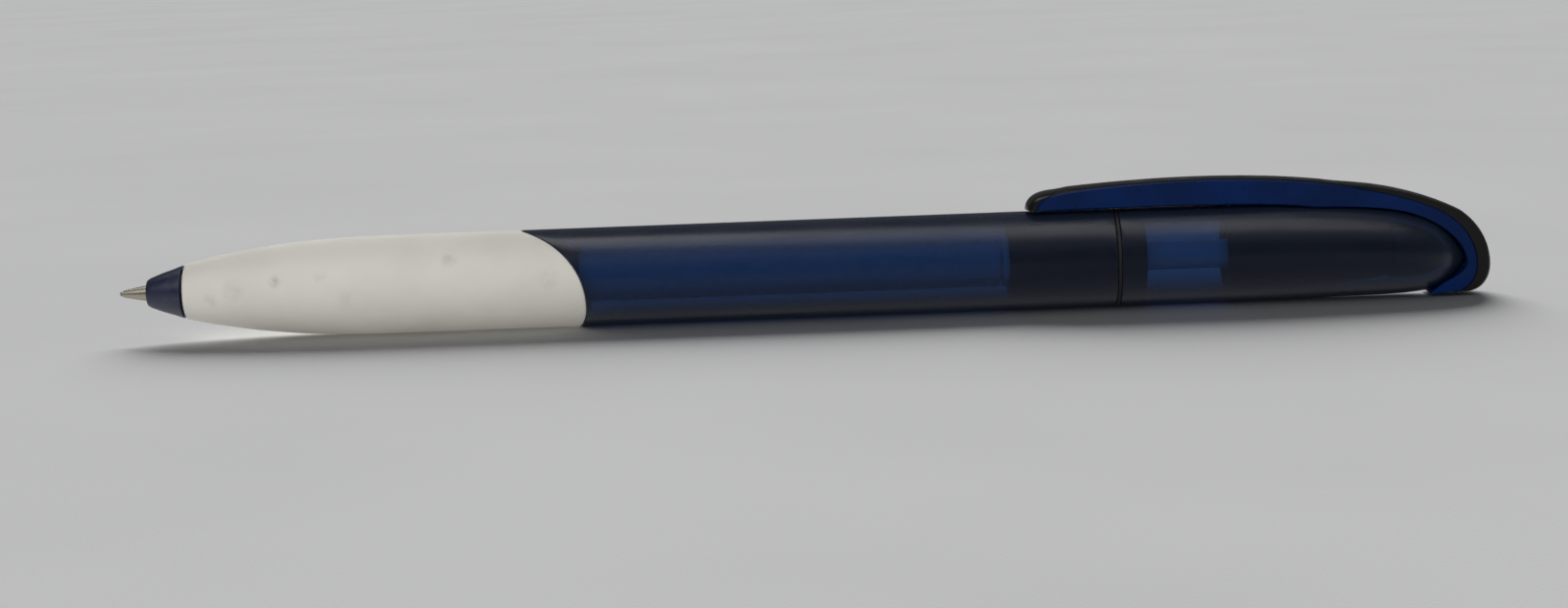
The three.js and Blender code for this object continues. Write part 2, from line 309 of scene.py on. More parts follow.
def swept(name, curves, section):
    """A bar along three side curves: its underside, its rim and its ridge.

    section(station, thickness, height) lists (side, curve, rise) points from the middle of the underside to
    the middle of the top.
    """
    rings = []
    for lines in zip(*curves):
        outward = (lines[RIDGE] - lines[UNDER]).normalized()
        thickness = (lines[RIM] - lines[UNDER]).length
        height = (lines[RIDGE] - lines[RIM]).length
        half = section(lines[UNDER].x, thickness, height)
        ring = []
        for side, curve, rise in half + [(-side, curve, rise) for side, curve, rise in half[-2:0:-1]]:
            p = lines[curve] + outward * rise
            ring.append(at(p.x, p.y, side))
        rings.append(ring)
    front, back = rings[0], rings[-1]
    capped = [[centre_of(front)], shrunk(front, 0.7), *rings, shrunk(back, 0.7), [centre_of(back)]]
    return lofted(name, capped, sharp=40)


def smooth_step(value, start, end):
    """0 before start, 1 after end and smooth between."""
    share = min(max((value - start) / (end - start), 0), 1)
    return share * share * (3 - 2 * share)


def centre_of(ring):
    """Middle of a ring of points."""
    return sum(ring, Vector()) / len(ring)


def shrunk(ring, share):
    """A ring drawn in towards its middle."""
    middle = centre_of(ring)
    return [middle.lerp(p, share) for p in ring]


# Finishes


class Finish:
    """A procedural material round one Principled shader."""

    def __init__(self, name, base, roughness, **sockets):
        self.material = bpy.data.materials.new(name)
        self.material.use_nodes = True
        self.nodes = self.material.node_tree.nodes
        self.shader = next(n for n in self.nodes if n.type == "BSDF_PRINCIPLED")
        self.shader.inputs["Base Color"].default_value = (*base, 1)
        self.shader.inputs["Roughness"].default_value = roughness
        for socket, value in sockets.items():
            self.shader.inputs[socket.replace("_", " ")].default_value = value
        self.place = self.node("ShaderNodeTexCoord").outputs["Object"]

    def node(self, kind, **settings):
        """A node with its settings and its unlinked inputs."""
        made = self.nodes.new(kind)
        for key, value in settings.items():
            if key in made.inputs:
                made.inputs[key].default_value = value
            else:
                setattr(made, key, value)
        return made

    def link(self, output, target):
        self.material.node_tree.links.new(output, target)

    def noise(self, scale, detail=3.0, stretch=(1, 1, 1)):
        """A noise value over the piece, at so many cells to the metre."""
        spread = self.node("ShaderNodeMapping")
        spread.inputs["Scale"].default_value = stretch
        self.link(self.place, spread.inputs["Vector"])
        texture = self.node("ShaderNodeTexNoise", Scale=scale, Detail=detail)
        self.link(spread.outputs["Vector"], texture.inputs["Vector"])
        return texture.outputs["Fac"]

    def ranged(self, value, from_range, to_range):
        """A value mapped from one range to another."""
        mapped = self.node("ShaderNodeMapRange")
        mapped.inputs["From Min"].default_value, mapped.inputs["From Max"].default_value = from_range
        mapped.inputs["To Min"].default_value, mapped.inputs["To Max"].default_value = to_range
        self.link(value, mapped.inputs["Value"])
        return mapped.outputs["Result"]

    def worn(self, scale, roughness, stretch=(1, 1, 1)):
        """Roughness that varies over the piece between two values."""
        mapped = self.ranged(self.noise(scale, 4, stretch), (0.35, 0.65), roughness)
        self.link(mapped, self.shader.inputs["Roughness"])
        return self

    def grained(self, scale, depth, stretch=(1, 1, 1)):
        """A fine relief, with its depth in metres."""
        bump = self.node("ShaderNodeBump", Strength=1.0, Distance=depth)
        self.link(self.noise(scale, 3, stretch), bump.inputs["Height"])
        self.link(bump.outputs["Normal"], self.shader.inputs["Normal"])
        return self

    def mixed(self, share, first, second):
        """A colour between two colours or outputs."""
        mix = self.node("ShaderNodeMix", data_type="RGBA")
        self.link(share, mix.inputs["Factor"])
        for socket, value in (("A", first), ("B", second)):
            target = next(s for s in mix.inputs if s.name == socket and s.type == "RGBA")
            if isinstance(value, bpy.types.NodeSocket):
                self.link(value, target)
            else:
                target.default_value = (*value, 1)
        return next(s for s in mix.outputs if s.type == "RGBA")

    def clouded(self, scale, first, second, span=(0.4, 0.6)):
        """A base colour that drifts between two colours."""
        share = self.ranged(self.noise(scale), span, (0, 1))
        self.link(self.mixed(share, first, second), self.shader.inputs["Base Color"])
        return self

    def marked(self, spots, base, soil):
        """Soft handling marks on the base colour, each at a place with a radius in mm and a strength."""
        blotch = self.noise(1100, 5)
        total = None
        for station, height, radius, strength in spots:
            away = self.node("ShaderNodeVectorMath", operation="DISTANCE")
            side = -math.sqrt(max(BARREL_R**2 * 0.8 - height**2, 0))
            away.inputs[1].default_value = at(station, height, side)
            self.link(self.place, away.inputs[0])
            near = self.ranged(away.outputs["Value"], (0.0, radius * MM), (strength, 0))
            if total is None:
                total = near
                continue
            sum_node = self.node("ShaderNodeMath", operation="ADD", use_clamp=True)
            self.link(total, sum_node.inputs[0])
            self.link(near, sum_node.inputs[1])
            total = sum_node.outputs["Value"]
        broken = self.node("ShaderNodeMath", operation="MULTIPLY", use_clamp=True)
        self.link(total, broken.inputs[0])
        self.link(self.ranged(blotch, (0.35, 0.62), (0, 1)), broken.inputs[1])
        clean = self.mixed(self.ranged(self.noise(90), (0.4, 0.6), (0, 1)), base, [c * 0.93 for c in base])
        soiled = self.mixed(broken.outputs["Value"], clean, soil)
        self.link(soiled, self.shader.inputs["Base Color"])
        return self

    def see_through(self, tint, share, edge_share=None):
        """Lets light through the wall with a tint.

        share is how much, and edge_share is how much at a grazing angle, where the way through is long.
        """
        clear = self.node("ShaderNodeBsdfTransparent")
        clear.inputs["Color"].default_value = (*tint, 1)
        mix = self.node("ShaderNodeMixShader")
        mix.inputs["Fac"].default_value = share
        if edge_share is not None:
            facing = self.node("ShaderNodeLayerWeight", Blend=0.5).outputs["Facing"]
            self.link(self.ranged(facing, (0.05, 0.4), (share, edge_share)), mix.inputs["Fac"])
        self.link(self.shader.outputs["BSDF"], mix.inputs[1])
        self.link(clear.outputs["BSDF"], mix.inputs[2])
        output = next(n for n in self.nodes if n.type == "OUTPUT_MATERIAL")
        self.link(mix.outputs["Shader"], output.inputs["Surface"])
        return self


def grip_rubber(colours):
    """Matte ivory rubber with handling marks."""
    finish = Finish("grip rubber", colours.grip, 0.6, Specular_IOR_Level=0.35)
    spots = ((9.7, -0.9, 1.5, 0.75), (16.9, 1.3, 0.9, 0.5), (21.6, 1.6, 1.0, 0.3), (34.8, 2.6, 1.2, 0.5),
             (12.4, 0.5, 1.6, 0.3), (24.5, -0.6, 1.6, 0.2), (45.0, 0.4, 1.4, 0.3))
    return finish.marked(spots, colours.grip, colours.grip_soil).grained(9000, 0.00002)


def barrel_plastic(colours):
    """Glossy tinted plastic that lets some light through."""
    finish = Finish("tinted barrel plastic", colours.barrel, 0.28, Specular_IOR_Level=0.4)
    return finish.worn(500, (0.24, 0.34), (0.2, 1, 1)).see_through(colours.barrel_tint, 0.55, 0.05)


def barrel_lining(colours):
    """The inner face of the tinted shells, where the light goes on through."""
    finish = Finish("barrel lining", colours.barrel, 0.4, Specular_IOR_Level=0.2)
    return finish.worn(500, (0.35, 0.5)).see_through((1, 1, 1), 0.88)


def nose_plastic(colours):
    """Satin dark plastic."""
    return Finish("nose plastic", colours.nose, 0.32).worn(900, (0.26, 0.42)).grained(6000, 0.000006)


def clip_plastic(colours):
    """Polished deep-blue plastic."""
    darker = [c * 0.7 for c in colours.clip]
    finish = Finish("clip plastic", colours.clip, 0.3, Specular_IOR_Level=0.1)
    return finish.clouded(120, colours.clip, darker).worn(700, (0.25, 0.4))


def cover_plastic(colours):
    """Polished black plastic."""
    finish = Finish("cover plastic", colours.cover, 0.25, Specular_IOR_Level=0.2)
    return finish.worn(600, (0.2, 0.36)).grained(3000, 0.000004)


def mechanism_plastic(colours):
    """Black engineering plastic."""
    finish = Finish("mechanism plastic", colours.mechanism, 0.5, Specular_IOR_Level=0.25)
    return finish.worn(900, (0.45, 0.65)).grained(5000, 0.00001)


def natural_plastic():
    """Milky unpigmented plastic."""
    milky, denser = (0.62, 0.64, 0.65), (0.56, 0.58, 0.6)
    finish = Finish("natural plastic", milky, 0.45, Subsurface_Weight=0.2, Subsurface_Scale=0.001)
    return finish.clouded(300, milky, denser).worn(800, (0.35, 0.55))


def point_metal(colours):
    """Turned nickel silver with fine lathe marks."""
    finish = Finish("point metal", colours.point, 0.25, Metallic=1.0)
    return finish.worn(2500, (0.2, 0.38), (8, 1, 1)).grained(7000, 0.000006, (6, 0.2, 0.2))


def ball_metal():
    """Polished carbide with a trace of ink."""
    carbide, ink = (0.3, 0.3, 0.31), (0.02, 0.02, 0.05)
    finish = Finish("ball metal", carbide, 0.15, Metallic=1.0)
    return finish.clouded(9000, carbide, ink, (0.5, 0.62))


def spring_steel():
    """Bright drawn wire."""
    finish = Finish("spring steel", (0.55, 0.55, 0.57), 0.28, Metallic=1.0)
    return finish.worn(4000, (0.2, 0.4), (1, 3, 3))


def seal_rubber():
    """Soft black rubber."""
    return Finish("seal rubber", (0.012, 0.012, 0.012), 0.8).worn(1500, (0.7, 0.9)).grained(6000, 0.00002)


def tube_plastic():
    """Clear, slightly milky refill tube."""
    finish = Finish("refill tube plastic", (0.55, 0.57, 0.6), 0.25)
    return finish.worn(700, (0.2, 0.35)).see_through((0.8, 0.82, 0.85), 0.25)


def gel_ink():
    """Wet dark ink."""
    dark, paler = (0.003, 0.003, 0.008), (0.008, 0.008, 0.02)
    return Finish("gel ink", dark, 0.12).clouded(800, dark, paler)


def clear_grease():
    """The yellowish plug that follows the ink."""
    yellow, darker = (0.5, 0.42, 0.15), (0.4, 0.34, 0.12)
    finish = Finish("follower grease", yellow, 0.2)
    return finish.clouded(900, yellow, darker).see_through((0.8, 0.7, 0.4), 0.3)


def dressed(piece, finish, slot, body, *nodes):
    """Gives a piece its finish and its body, and hides the CAD nodes that it stands for; slot is not used."""
    piece.data.materials.clear()
    piece.data.materials.append(finish.material)
    if body:
        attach(piece, body)
    if nodes:
        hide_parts(*nodes)
    return piece


def settings(context):
    """The pen's sizes and colours."""
    return context.scene.gel_pen_sizes, context.scene.gel_pen_colours


# Pieces


def stations(start, end, radius, count):
    """Rows of one radius, evenly spaced."""
    return [(start + (end - start) * i / (count - 1), radius) for i in range(count)]


def scooped(station, radius, angle):
    """Draws the rear part of the grip forward to its scooped edge."""
    fade = min(max((station - 25) / (GRIP_END - 25), 0), 1)
    return station - (GRIP_END - edge_station(angle)) * fade**2, radius, 0


def meeting_grip(station, radius, angle):
    """Draws the front of the barrel's skin forward to meet the grip's edge."""
    on_skin = radius > BARREL_R - 0.75 or (radius < BARREL_R - 1.05 and GRIP_END < station < GRIP_END + 1)
    if not on_skin:
        return station, radius, 0
    fade = 1 - min(max((station - GRIP_END - 0.5) / 24, 0), 1)
    return station - (GRIP_END - edge_station(angle)) * fade**2, radius, 0


def carved(piece, *cutters):
    """Cuts other objects out of a piece and removes them."""
    for cutter in cutters:
        modifier = piece.modifiers.new(cutter.name, "BOOLEAN")
        modifier.operation = "DIFFERENCE"
        modifier.solver = "EXACT"
        modifier.object = cutter
    graph = bpy.context.evaluated_depsgraph_get()
    data = bpy.data.meshes.new_from_object(piece.evaluated_get(graph))
    piece.modifiers.clear()
    piece.data = data
    data.shade_smooth()
    data.set_sharp_from_angle(angle=math.radians(CREASE))
    for cutter in cutters:
        bpy.data.objects.remove(cutter)
    return piece


def block(name, low_corner, high_corner):
    """A cutter between two corners, each (station, side, height)."""
    rings = []
    for station in (low_corner[0], high_corner[0]):
        rings.append([
            at(station, high_corner[2], low_corner[1]), at(station, high_corner[2], high_corner[1]),
            at(station, low_corner[2], high_corner[1]), at(station, low_corner[2], low_corner[1]),
        ])
    return lofted(name, rings)


class PieceOperator(bpy.types.Operator):
    """Base of the operators that make the pen's pieces."""

    bl_options = {"REGISTER", "UNDO"}

    def execute(self, context):
        self.build(*settings(context))
        return {"FINISHED"}


class GEL_PEN_OT_grip(PieceOperator):
    """Soft sleeve with a scooped rear edge"""

    bl_idname = "gel_pen.grip"
    bl_label = "Grip sleeve"

    def build(self, sizes, colours):
        taper = [(GRIP_START + 0.12, 2.86), (8.5, 3.22), (10, 3.53), (13, 4.05), (16, 4.46), (20, 4.85),
                 (25, 5.06), (29, BARREL_R)]
        inside = BARREL_R - sizes.grip_wall
        outer = flowing(taper) + stations(31, GRIP_END - 1, BARREL_R, 14)
        lip = [(GRIP_END, BARREL_R, sizes.edge_round), (GRIP_END, inside)]
        inner = [(29, inside), (20, 4.12), (16, 3.78), (13, 3.42), (GRIP_START, 2.5)]
        front = [(GRIP_START, 2.72)]
        piece = turned("grip_sleeve_soft", eased(front + outer + lip + inner), sizes.sides, scooped)
        dressed(piece, grip_rubber(colours), "grip", "barrel", "grip_sleeve")


class GEL_PEN_OT_front_barrel(PieceOperator):
    """Tinted front barrel with its core under the grip"""

    bl_idname = "gel_pen.front_barrel"
    bl_label = "Front barrel"

    def build(self, sizes, colours):
        bore = BARREL_R - sizes.wall
        core = BARREL_R - sizes.grip_wall - 0.4
        edge = GRIP_END + sizes.edge_gap
        start = low("front_barrel")
        mouth, throat = 2.8, 3.1
        profile = [(start, mouth), (start, 3.2), (16, 3.5), (20, core), (36, core), (edge, core),
                   (edge, BARREL_R - 0.3), (edge, BARREL_R, 0.1)]
        profile += stations(edge + 1, SEAM - 1, BARREL_R, 24)
        profile += [(SEAM, BARREL_R, 0.12), (SEAM, bore, 0.1), (90, bore), (54, bore, 2), (50, throat, 2),
                    (30, throat), (20, throat), (19.5, mouth)]
        piece = turned("front_barrel_shell", eased(profile), sizes.sides, meeting_grip)
        dressed(piece, barrel_plastic(colours), "barrel", "barrel", "front_barrel")
        lined(piece, barrel_lining(colours))


class GEL_PEN_OT_nose(PieceOperator):
    """Nose cone with its threaded shank"""

    bl_idname = "gel_pen.nose"
    bl_label = "Nose cone"

    def build(self, sizes, colours):
        start = low("nose_cone")
        end = high("nose_cone")
        cone = [(start, 1.0, 0.05), (start, 1.32, 0.22), *flowing([(3.3, 1.56), (4.5, 2.02), (5.7, 2.4)], 4),
                (6.68, 2.76, 0.08), (6.68, 2.28)]
        shank = [(9.2, 2.42), (12.5, 2.85, 0.1), (12.6, 2.5)]
        thread = []
        pitch = 0.8
        station = 13.0
        while station < end - 1:
            thread += [(station, 2.35), (station + pitch * 0.3, 2.54), (station + pitch * 0.6, 2.54),
                       (station + pitch * 0.9, 2.35)]
            station += pitch
        tail = [(end, 2.45, 0.15), (end, 2.15)]
        bore = [(9, 2.15), (8.6, 1.45), (4.7, 1.45), (4.1, 1.0)]
        profile = [(start + 0.4, 1.0)] + cone + shank + thread + tail + bore
        piece = turned("nose_cone_turned", eased(profile), sizes.sides)
        dressed(piece, nose_plastic(colours), "nose", "barrel", "nose_cone")


class GEL_PEN_OT_rear_barrel(PieceOperator):
    """Tinted rear barrel with its drooping dome"""

    bl_idname = "gel_pen.rear_barrel"
    bl_label = "Rear barrel"

    def build(self, sizes, colours):
        bore = BARREL_R - sizes.wall
        dome = flowing([
            (118, BARREL_R), (121.5, 5.07), (125, 4.97), (130, 4.74), (133, 4.47), (135, 4.14), (136, 3.88),
            (137, 3.46), (138, 2.74), (138.8, 1.98), (139.3, 1.5), (DOME_END, 1.15),
        ], 5)
        start = REAR_START - 0.1
        tube = [(start, bore, 0.1), (start, BARREL_R, 0.12)] + stations(REAR_START + 1, 117, BARREL_R, 8)
        outer = tube + dome
        inner = flowing([
            (138.3, 1.25), (137.6, 1.8), (136.4, 2.5), (135, 3.05), (133, 3.4), (130, 3.76), (125, 4.07),
            (120, bore),
        ], 4) + [(112, bore)]
        profile = [(REAR_START + 0.5, bore)] + outer + inner
        piece = turned("rear_barrel_shell", eased(profile), sizes.sides, drooped)
        dressed(piece, barrel_plastic(colours), "barrel", "rear", "rear_barrel")
        lined(piece, barrel_lining(colours))


class GEL_PEN_OT_mechanism(PieceOperator):
    """Twist mechanism: guide sleeve, seam ring, bush, rings, cam barrel, pusher and end plug"""

    bl_idname = "gel_pen.mechanism"
    bl_label = "Twist mechanism"

    def build(self, sizes, colours):
        self.black = mechanism_plastic(colours)
        self.natural = natural_plastic()
        self.sides = sizes.sides
        self.guide_sleeve()
        self.rings()
        self.cam_barrel()
        self.pusher()
        self.end_plug()

    def guide_sleeve(self):
        start, end = low("guide_sleeve"), high("guide_sleeve")
        bore, neck, shoulder = 2.8, 3.5, SEAM - 0.1
        profile = [
            (start + 1, bore), (start, bore), (start, SLEEVE_R, 0.2), (shoulder, SLEEVE_R, 0.1),
            (shoulder, neck), (105.2, neck), (105.2, 3.15), (105.65, 3.15), (105.65, neck), (105.8, neck),
            (105.8, 3.3), (106.4, 3.3), (106.4, neck), (end, neck, 0.1), (end, bore),
        ]
        sleeve = turned("guide_sleeve_moulded", eased(profile), self.sides)
        slots = block("key_slots", (start - 1, -3.35, -0.75), (103.1, 3.35, 0.75))
        dressed(carved(sleeve, slots), self.black, "mechanism", "barrel", "guide_sleeve")

    def rings(self):
        seam = low("seam_ring"), high("seam_ring")
        profile = [(seam[0] + 0.15, 3.65), (seam[0], 3.65), (seam[0], 5.06, 0.06), (seam[1], 5.06, 0.06),
                   (seam[1], 3.65)]
        piece = turned("seam_ring_turned", eased(profile), self.sides)
        dressed(piece, self.black, "mechanism", "barrel", "seam_ring")
        bush = low("neck_bush"), high("neck_bush")
        skirt_end = 106.5
        profile = [(bush[0] + 0.4, 3.65), (bush[0], 3.65), (bush[0], 4.02, 0.15), (skirt_end, 4.02),
                   (skirt_end, 3.97), (bush[1], 3.97), (bush[1], 3.65)]
        piece = turned("neck_bush_turned", eased(profile), self.sides)
        dressed(piece, self.black, "mechanism", "rear", "neck_bush")
        centre = (low("friction_ring") + high("friction_ring")) / 2
        section = [(centre + 0.25 * math.cos(a), 3.68 + 0.27 * math.sin(a))
                   for a in (2 * math.pi * i / 16 for i in range(16))]
        piece = turned("friction_ring_moulded", section, self.sides)
        dressed(piece, seal_rubber(), "seal", "barrel", "friction_ring")
        span = low("retaining_ring"), high("retaining_ring")
        profile = [(span[0] + 0.15, 3.25), (span[0], 3.25), (span[0], SLEEVE_R, 0.06),
                   (span[1], SLEEVE_R, 0.06), (span[1], 3.25)]
        circlip = turned("retaining_ring_stamped", eased(profile), self.sides)
        mouth = block("mouth", (span[0] - 1, -1.1, -5), (span[1] + 1, 1.1, -2))
        dressed(carved(circlip, mouth), spring_steel(), "spring", "barrel", "retaining_ring")

    def cam_groove(self, name, start_angle):
        """A cutter along the cross pin's path as the cam turns past it, which leaves a skin outside."""
        rings = []
        steps = 48
        for i in range(steps + 1):
            travel = -0.12 + 1.24 * i / steps
            angle = start_angle - math.pi * travel
            ring = []
            for radius, across in ((2.2, -GROOVE_HALF), (GROOVE_R, -GROOVE_HALF), (GROOVE_R, GROOVE_HALF),
                                   (2.2, GROOVE_HALF)):
                station = PIN_STATION + STROKE * travel + across
                ring.append(at(station, radius * math.cos(angle), -radius * math.sin(angle)))
            rings.append(ring)
        return lofted(name, rings)

    def cam_barrel(self):
        start, end = low("cam_barrel"), high("cam_barrel")
        bore = 2.6
        profile = [(start + 1, bore), (start, bore), (start, SLEEVE_R, 0.15), (123, SLEEVE_R, 1),
                   (end, 3.0, 0.15), (end, bore)]
        sleeve = turned("cam_barrel_moulded", eased(profile), self.sides)
        starts = (math.pi / 2, -math.pi / 2)
        grooves = [self.cam_groove(f"cam_groove_{i}", angle) for i, angle in enumerate(starts)]
        dressed(carved(sleeve, *grooves), self.black, "mechanism", "rear", "cam_barrel")

    def pusher(self):
        head = low("pusher"), 96.8
        shaft_r = 1.5
        profile = [(head[0], 0), (head[0], 2.45, 0.2), (head[1], 2.45, 0.2), (head[1], shaft_r),
                   (119.9, shaft_r, 0.3), (120.2, 0)]
        shaft = turned("pusher_moulded", eased(profile), self.sides, closed=False)
        mesh = bmesh.new()
        mesh.from_mesh(shaft.data)
        for side in (-1, 1):
            pin = [(PIN_STATION + PIN_R * math.cos(a), PIN_R * math.sin(a))
                   for a in (2 * math.pi * i / 24 for i in range(24))]
            self.add_bar(mesh, side, pin, 1.2, PIN_REACH)
            key_start, key_end, key_half = head[0] + 0.3, head[1] - 0.3, 0.45
            key = [(key_start, -key_half), (key_end, -key_half), (key_end, key_half), (key_start, key_half)]
            self.add_bar(mesh, side, key, 2.2, PIN_REACH)
        bmesh.ops.recalc_face_normals(mesh, faces=mesh.faces)
        bpy.data.objects.remove(shaft)
        dressed(finished("pusher_moulded", mesh), self.natural, "natural_plastic", "refill", "pusher")

    def add_bar(self, mesh, side, outline, inner, outer):
        """Adds a bar that stands out sideways from the pusher, with its edge broken at the end."""
        middle = sum((Vector(p) for p in outline), Vector((0, 0))) / len(outline)
        rings = []
        for reach, share in ((inner, 1), (outer - 0.12, 1), (outer, 0.85)):
            ring = [middle.lerp(Vector(p), share) for p in outline]
            rings.append([mesh.verts.new(at(p.x, p.y, side * reach)) for p in ring])
        for first, second in zip(rings, rings[1:]):
            for i in range(len(first)):
                j = (i + 1) % len(first)
                mesh.faces.new((first[i], first[j], second[j], second[i]))
        mesh.faces.new(rings[0])
        mesh.faces.new(rings[-1])

    def end_plug(self):
        stud_r, stud_end = 0.88, 140.15
        profile = [(132, 0), (132, 2.85, 0.2), (133.3, 2.85), (135, 2.65), (136.4, 2.1), (137.4, 1.45),
                   (138, stud_r, 0.2), (stud_end, stud_r, 0.2), (stud_end, 0)]
        piece = turned("end_plug_moulded", eased(profile), self.sides, drooped, closed=False)
        dressed(piece, self.black, "mechanism", "rear", "end_plug")


class GEL_PEN_OT_clip(PieceOperator):
    """Clip spine and its black cover, from the free tip round to the hook under the rear end"""

    bl_idname = "gel_pen.clip"
    bl_label = "Clip"

    def build(self, sizes, colours):
        self.lip = sizes.clip_lip
        self.half = sizes.clip_width / 2
        self.cover_half = sizes.cover_width / 2
        self.crown = sizes.cover_crown
        end = CLIP_END - 0.05
        ridge = (
            (CLIP_TIP + 0.05, 5.3), ((CLIP_TIP + 0.15, 6.45), (96.2, 7.3), (99, 7.45)),
            ((106, 8.12), (116.5, 8.42), (125, 7.35)), ((130, 6.6), (136, 5.15), (139.4, 3.55)),
            ((141.4, 2.6), (end, 0), (end, -1.85)), ((end, -3.7), (141.2, -4.82), (139.4, -4.82)))
        rim = (
            (95.35, 5.35), ((95.5, 6.3), (96.6, 6.95), (98.8, 7.2)), ((106, 7.98), (116.5, 8.3), (125, 7.08)),
            ((129.5, 6.45), (134.2, 5.3), (137.2, 3.75)), ((139.5, 2.4), (140.8, 0.4), (140.8, -1.75)),
            ((140.8, -3.3), (140, -4.2), (138.95, -4.6)))
        under = (
            (95.75, 5.3), ((96.5, 5.3), (97.5, 5.3), (99, 5.3)), ((109, 5.35), (118, 5.5), (124, 4.62)),
            ((127.5, 4.55), (131.4, 4.5), (133.9, 3.7)), ((136.8, 2.8), (139.7, 0.5), (139.7, -1.6)),
            ((139.7, -2.5), (138.8, -3.0), (137.3, -3.7)))
        hook = ((135.95, -4.7),), ((136.0, -4.78),), ((136.3, -5.3),)
        cover_end = ((138.1, -4.7),), ((138.3, -4.74),), ((138.45, -4.81),)
        spine_curves = [bezier(*line, last) for line, last in zip((under, rim, ridge), hook)]
        cover_curves = [bezier(*line, last) for line, last in zip((under, rim, ridge), cover_end)]
        spine = swept("clip_spine_moulded", spine_curves, self.spine_section)
        cover = swept("clip_cover_moulded", cover_curves, self.cover_section)
        dressed(cover, cover_plastic(colours), "clip_cover", None, "arm_cover", "band_cover")
        dressed(spine, clip_plastic(colours), "clip", None, "clip_arm", "clip_band")
        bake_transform(cover)
        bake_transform(spine)

    def recess(self, thickness, height):
        """Depth of the channel that the cover is laid in: full along the arm, and none round the end."""
        return max(min(0.32 * (1 - smooth_step(height, 0.3, 0.6)), 0.4 * thickness), 0.02)

    def spine_section(self, station, thickness, height):
        half = self.half
        inner = half - self.lip
        recess = self.recess(thickness, height)
        arch = min(0.12 + 0.33 * math.exp(-((station - 125) / 5)**2), 0.3 * thickness)
        corner = min(0.14, 0.25 * thickness)
        return [
            (0, UNDER, arch), (0.35 * half, UNDER, 0.88 * arch), (0.7 * half, UNDER, 0.5 * arch),
            (half - corner, UNDER, 0), (half, UNDER, corner), (half, RIM, -corner), (half - corner, RIM, 0),
            (inner + 0.05, RIM, 0), (inner, RIM, -0.01), (inner, RIM, -recess), (0, RIM, -recess),
        ]

    def cover_section(self, station, thickness, height):
        tongue = self.half - self.lip - 0.02
        recess = self.recess(thickness, height) - 0.01
        half = tongue + 0.01 + (self.cover_half - tongue) * smooth_step(height, 0.28, 0.6)
        crown = min(self.crown, 0.75 * height)
        edge = height - crown
        bevel = min(0.18, 0.6 * edge)
        return [
            (0, RIM, -recess), (tongue, RIM, -recess), (tongue, RIM, 0.01), (half, RIM, 0.01),
            (half, RIM, edge - bevel), (half - bevel, RIM, edge), (0.66 * half, RIM, height - 0.44 * crown),
            (0.33 * half, RIM, height - 0.11 * crown), (0, RIM, height),
        ]


class GEL_PEN_OT_point(PieceOperator):
    """Metal writing point and its ball"""

    bl_idname = "gel_pen.point"
    bl_label = "Writing point"

    def build(self, sizes, colours):
        profile = [
            (0.7, 0.26), (0.33, 0.27), (0.33, 0.33), (0.62, 0.4), (1.6, 0.6), (2.9, 0.83, 0.3), (4.4, 0.87),
            (5.2, 1.14, 0.2), (13.5, 1.14, 0.1), (13.5, 0.6), (3.4, 0.6), (3.0, 0.12), (0.8, 0.12),
        ]
        tip = turned("writing_tip_turned", eased(profile), sizes.sides // 2)
        dressed(tip, point_metal(colours), "tip", "refill", "writing_tip")
        radius = (high("tip_ball") - low("tip_ball")) / 2
        rows = 24
        profile = [(radius - radius * math.cos(math.pi * i / rows), radius * math.sin(math.pi * i / rows))
                   for i in range(rows + 1)]
        ball = turned("tip_ball_ground", profile, sizes.sides // 2, closed=False)
        dressed(ball, ball_metal(), "ball", "ball", "tip_ball")


class GEL_PEN_OT_refill(PieceOperator):
    """Refill: tip holder, tube, ink, follower and end plug"""

    bl_idname = "gel_pen.refill"
    bl_label = "Refill"

    def build(self, sizes, colours):
        natural = natural_plastic()
        sides = sizes.sides // 2
        profile = [
            (12, 1.28), (10.9, 1.28), (10.9, 1.5, 0.1), (23.6, 1.5), (23.6, 2.45, 0.15), (25.6, 2.45, 0.15),
            (25.6, 1.9), (31, 1.9, 0.2), (31, 0.7), (13.8, 0.7), (13.8, 1.28),
        ]
        piece = turned("tip_holder_moulded", eased(profile), sides)
        dressed(piece, natural, "natural_plastic", "refill", "tip_holder")
        start, end = low("ink_tube"), high("ink_tube")
        bore = 2.15
        profile = [(start + 1, bore), (start, bore), (start, TUBE_R, 0.1), (end, TUBE_R, 0.1), (end, bore)]
        piece = turned("ink_tube_extruded", eased(profile), sides)
        dressed(piece, tube_plastic(), "ink_tube", "refill", "ink_tube")
        start, end = low("ink_column"), high("ink_column")
        profile = [(start, 0), (start, INK_R), (end, INK_R, 0.4), (end - 0.5, 0)]
        piece = turned("ink_column_filled", eased(profile), sides, closed=False)
        dressed(piece, gel_ink(), "ink", "refill", "ink_column")
        start, end = low("ink_follower"), high("ink_follower")
        profile = [(start, 0), (start, INK_R, 0.4), (end, INK_R), (end - 0.7, 0)]
        piece = turned("ink_follower_filled", eased(profile), sides, closed=False)
        dressed(piece, clear_grease(), "grease", "refill", "ink_follower")
        start, end = low("refill_plug"), high("refill_plug")
        vent, flange = 0.5, end - 1.3
        profile = [(start + 0.5, vent), (start, vent), (start, 1.9, 0.3), (flange, 1.9),
                   (flange, TUBE_R, 0.1), (end, TUBE_R, 0.2), (end, vent)]
        piece = turned("refill_plug_moulded", eased(profile), sides)
        dressed(piece, natural, "natural_plastic", "refill", "refill_plug")


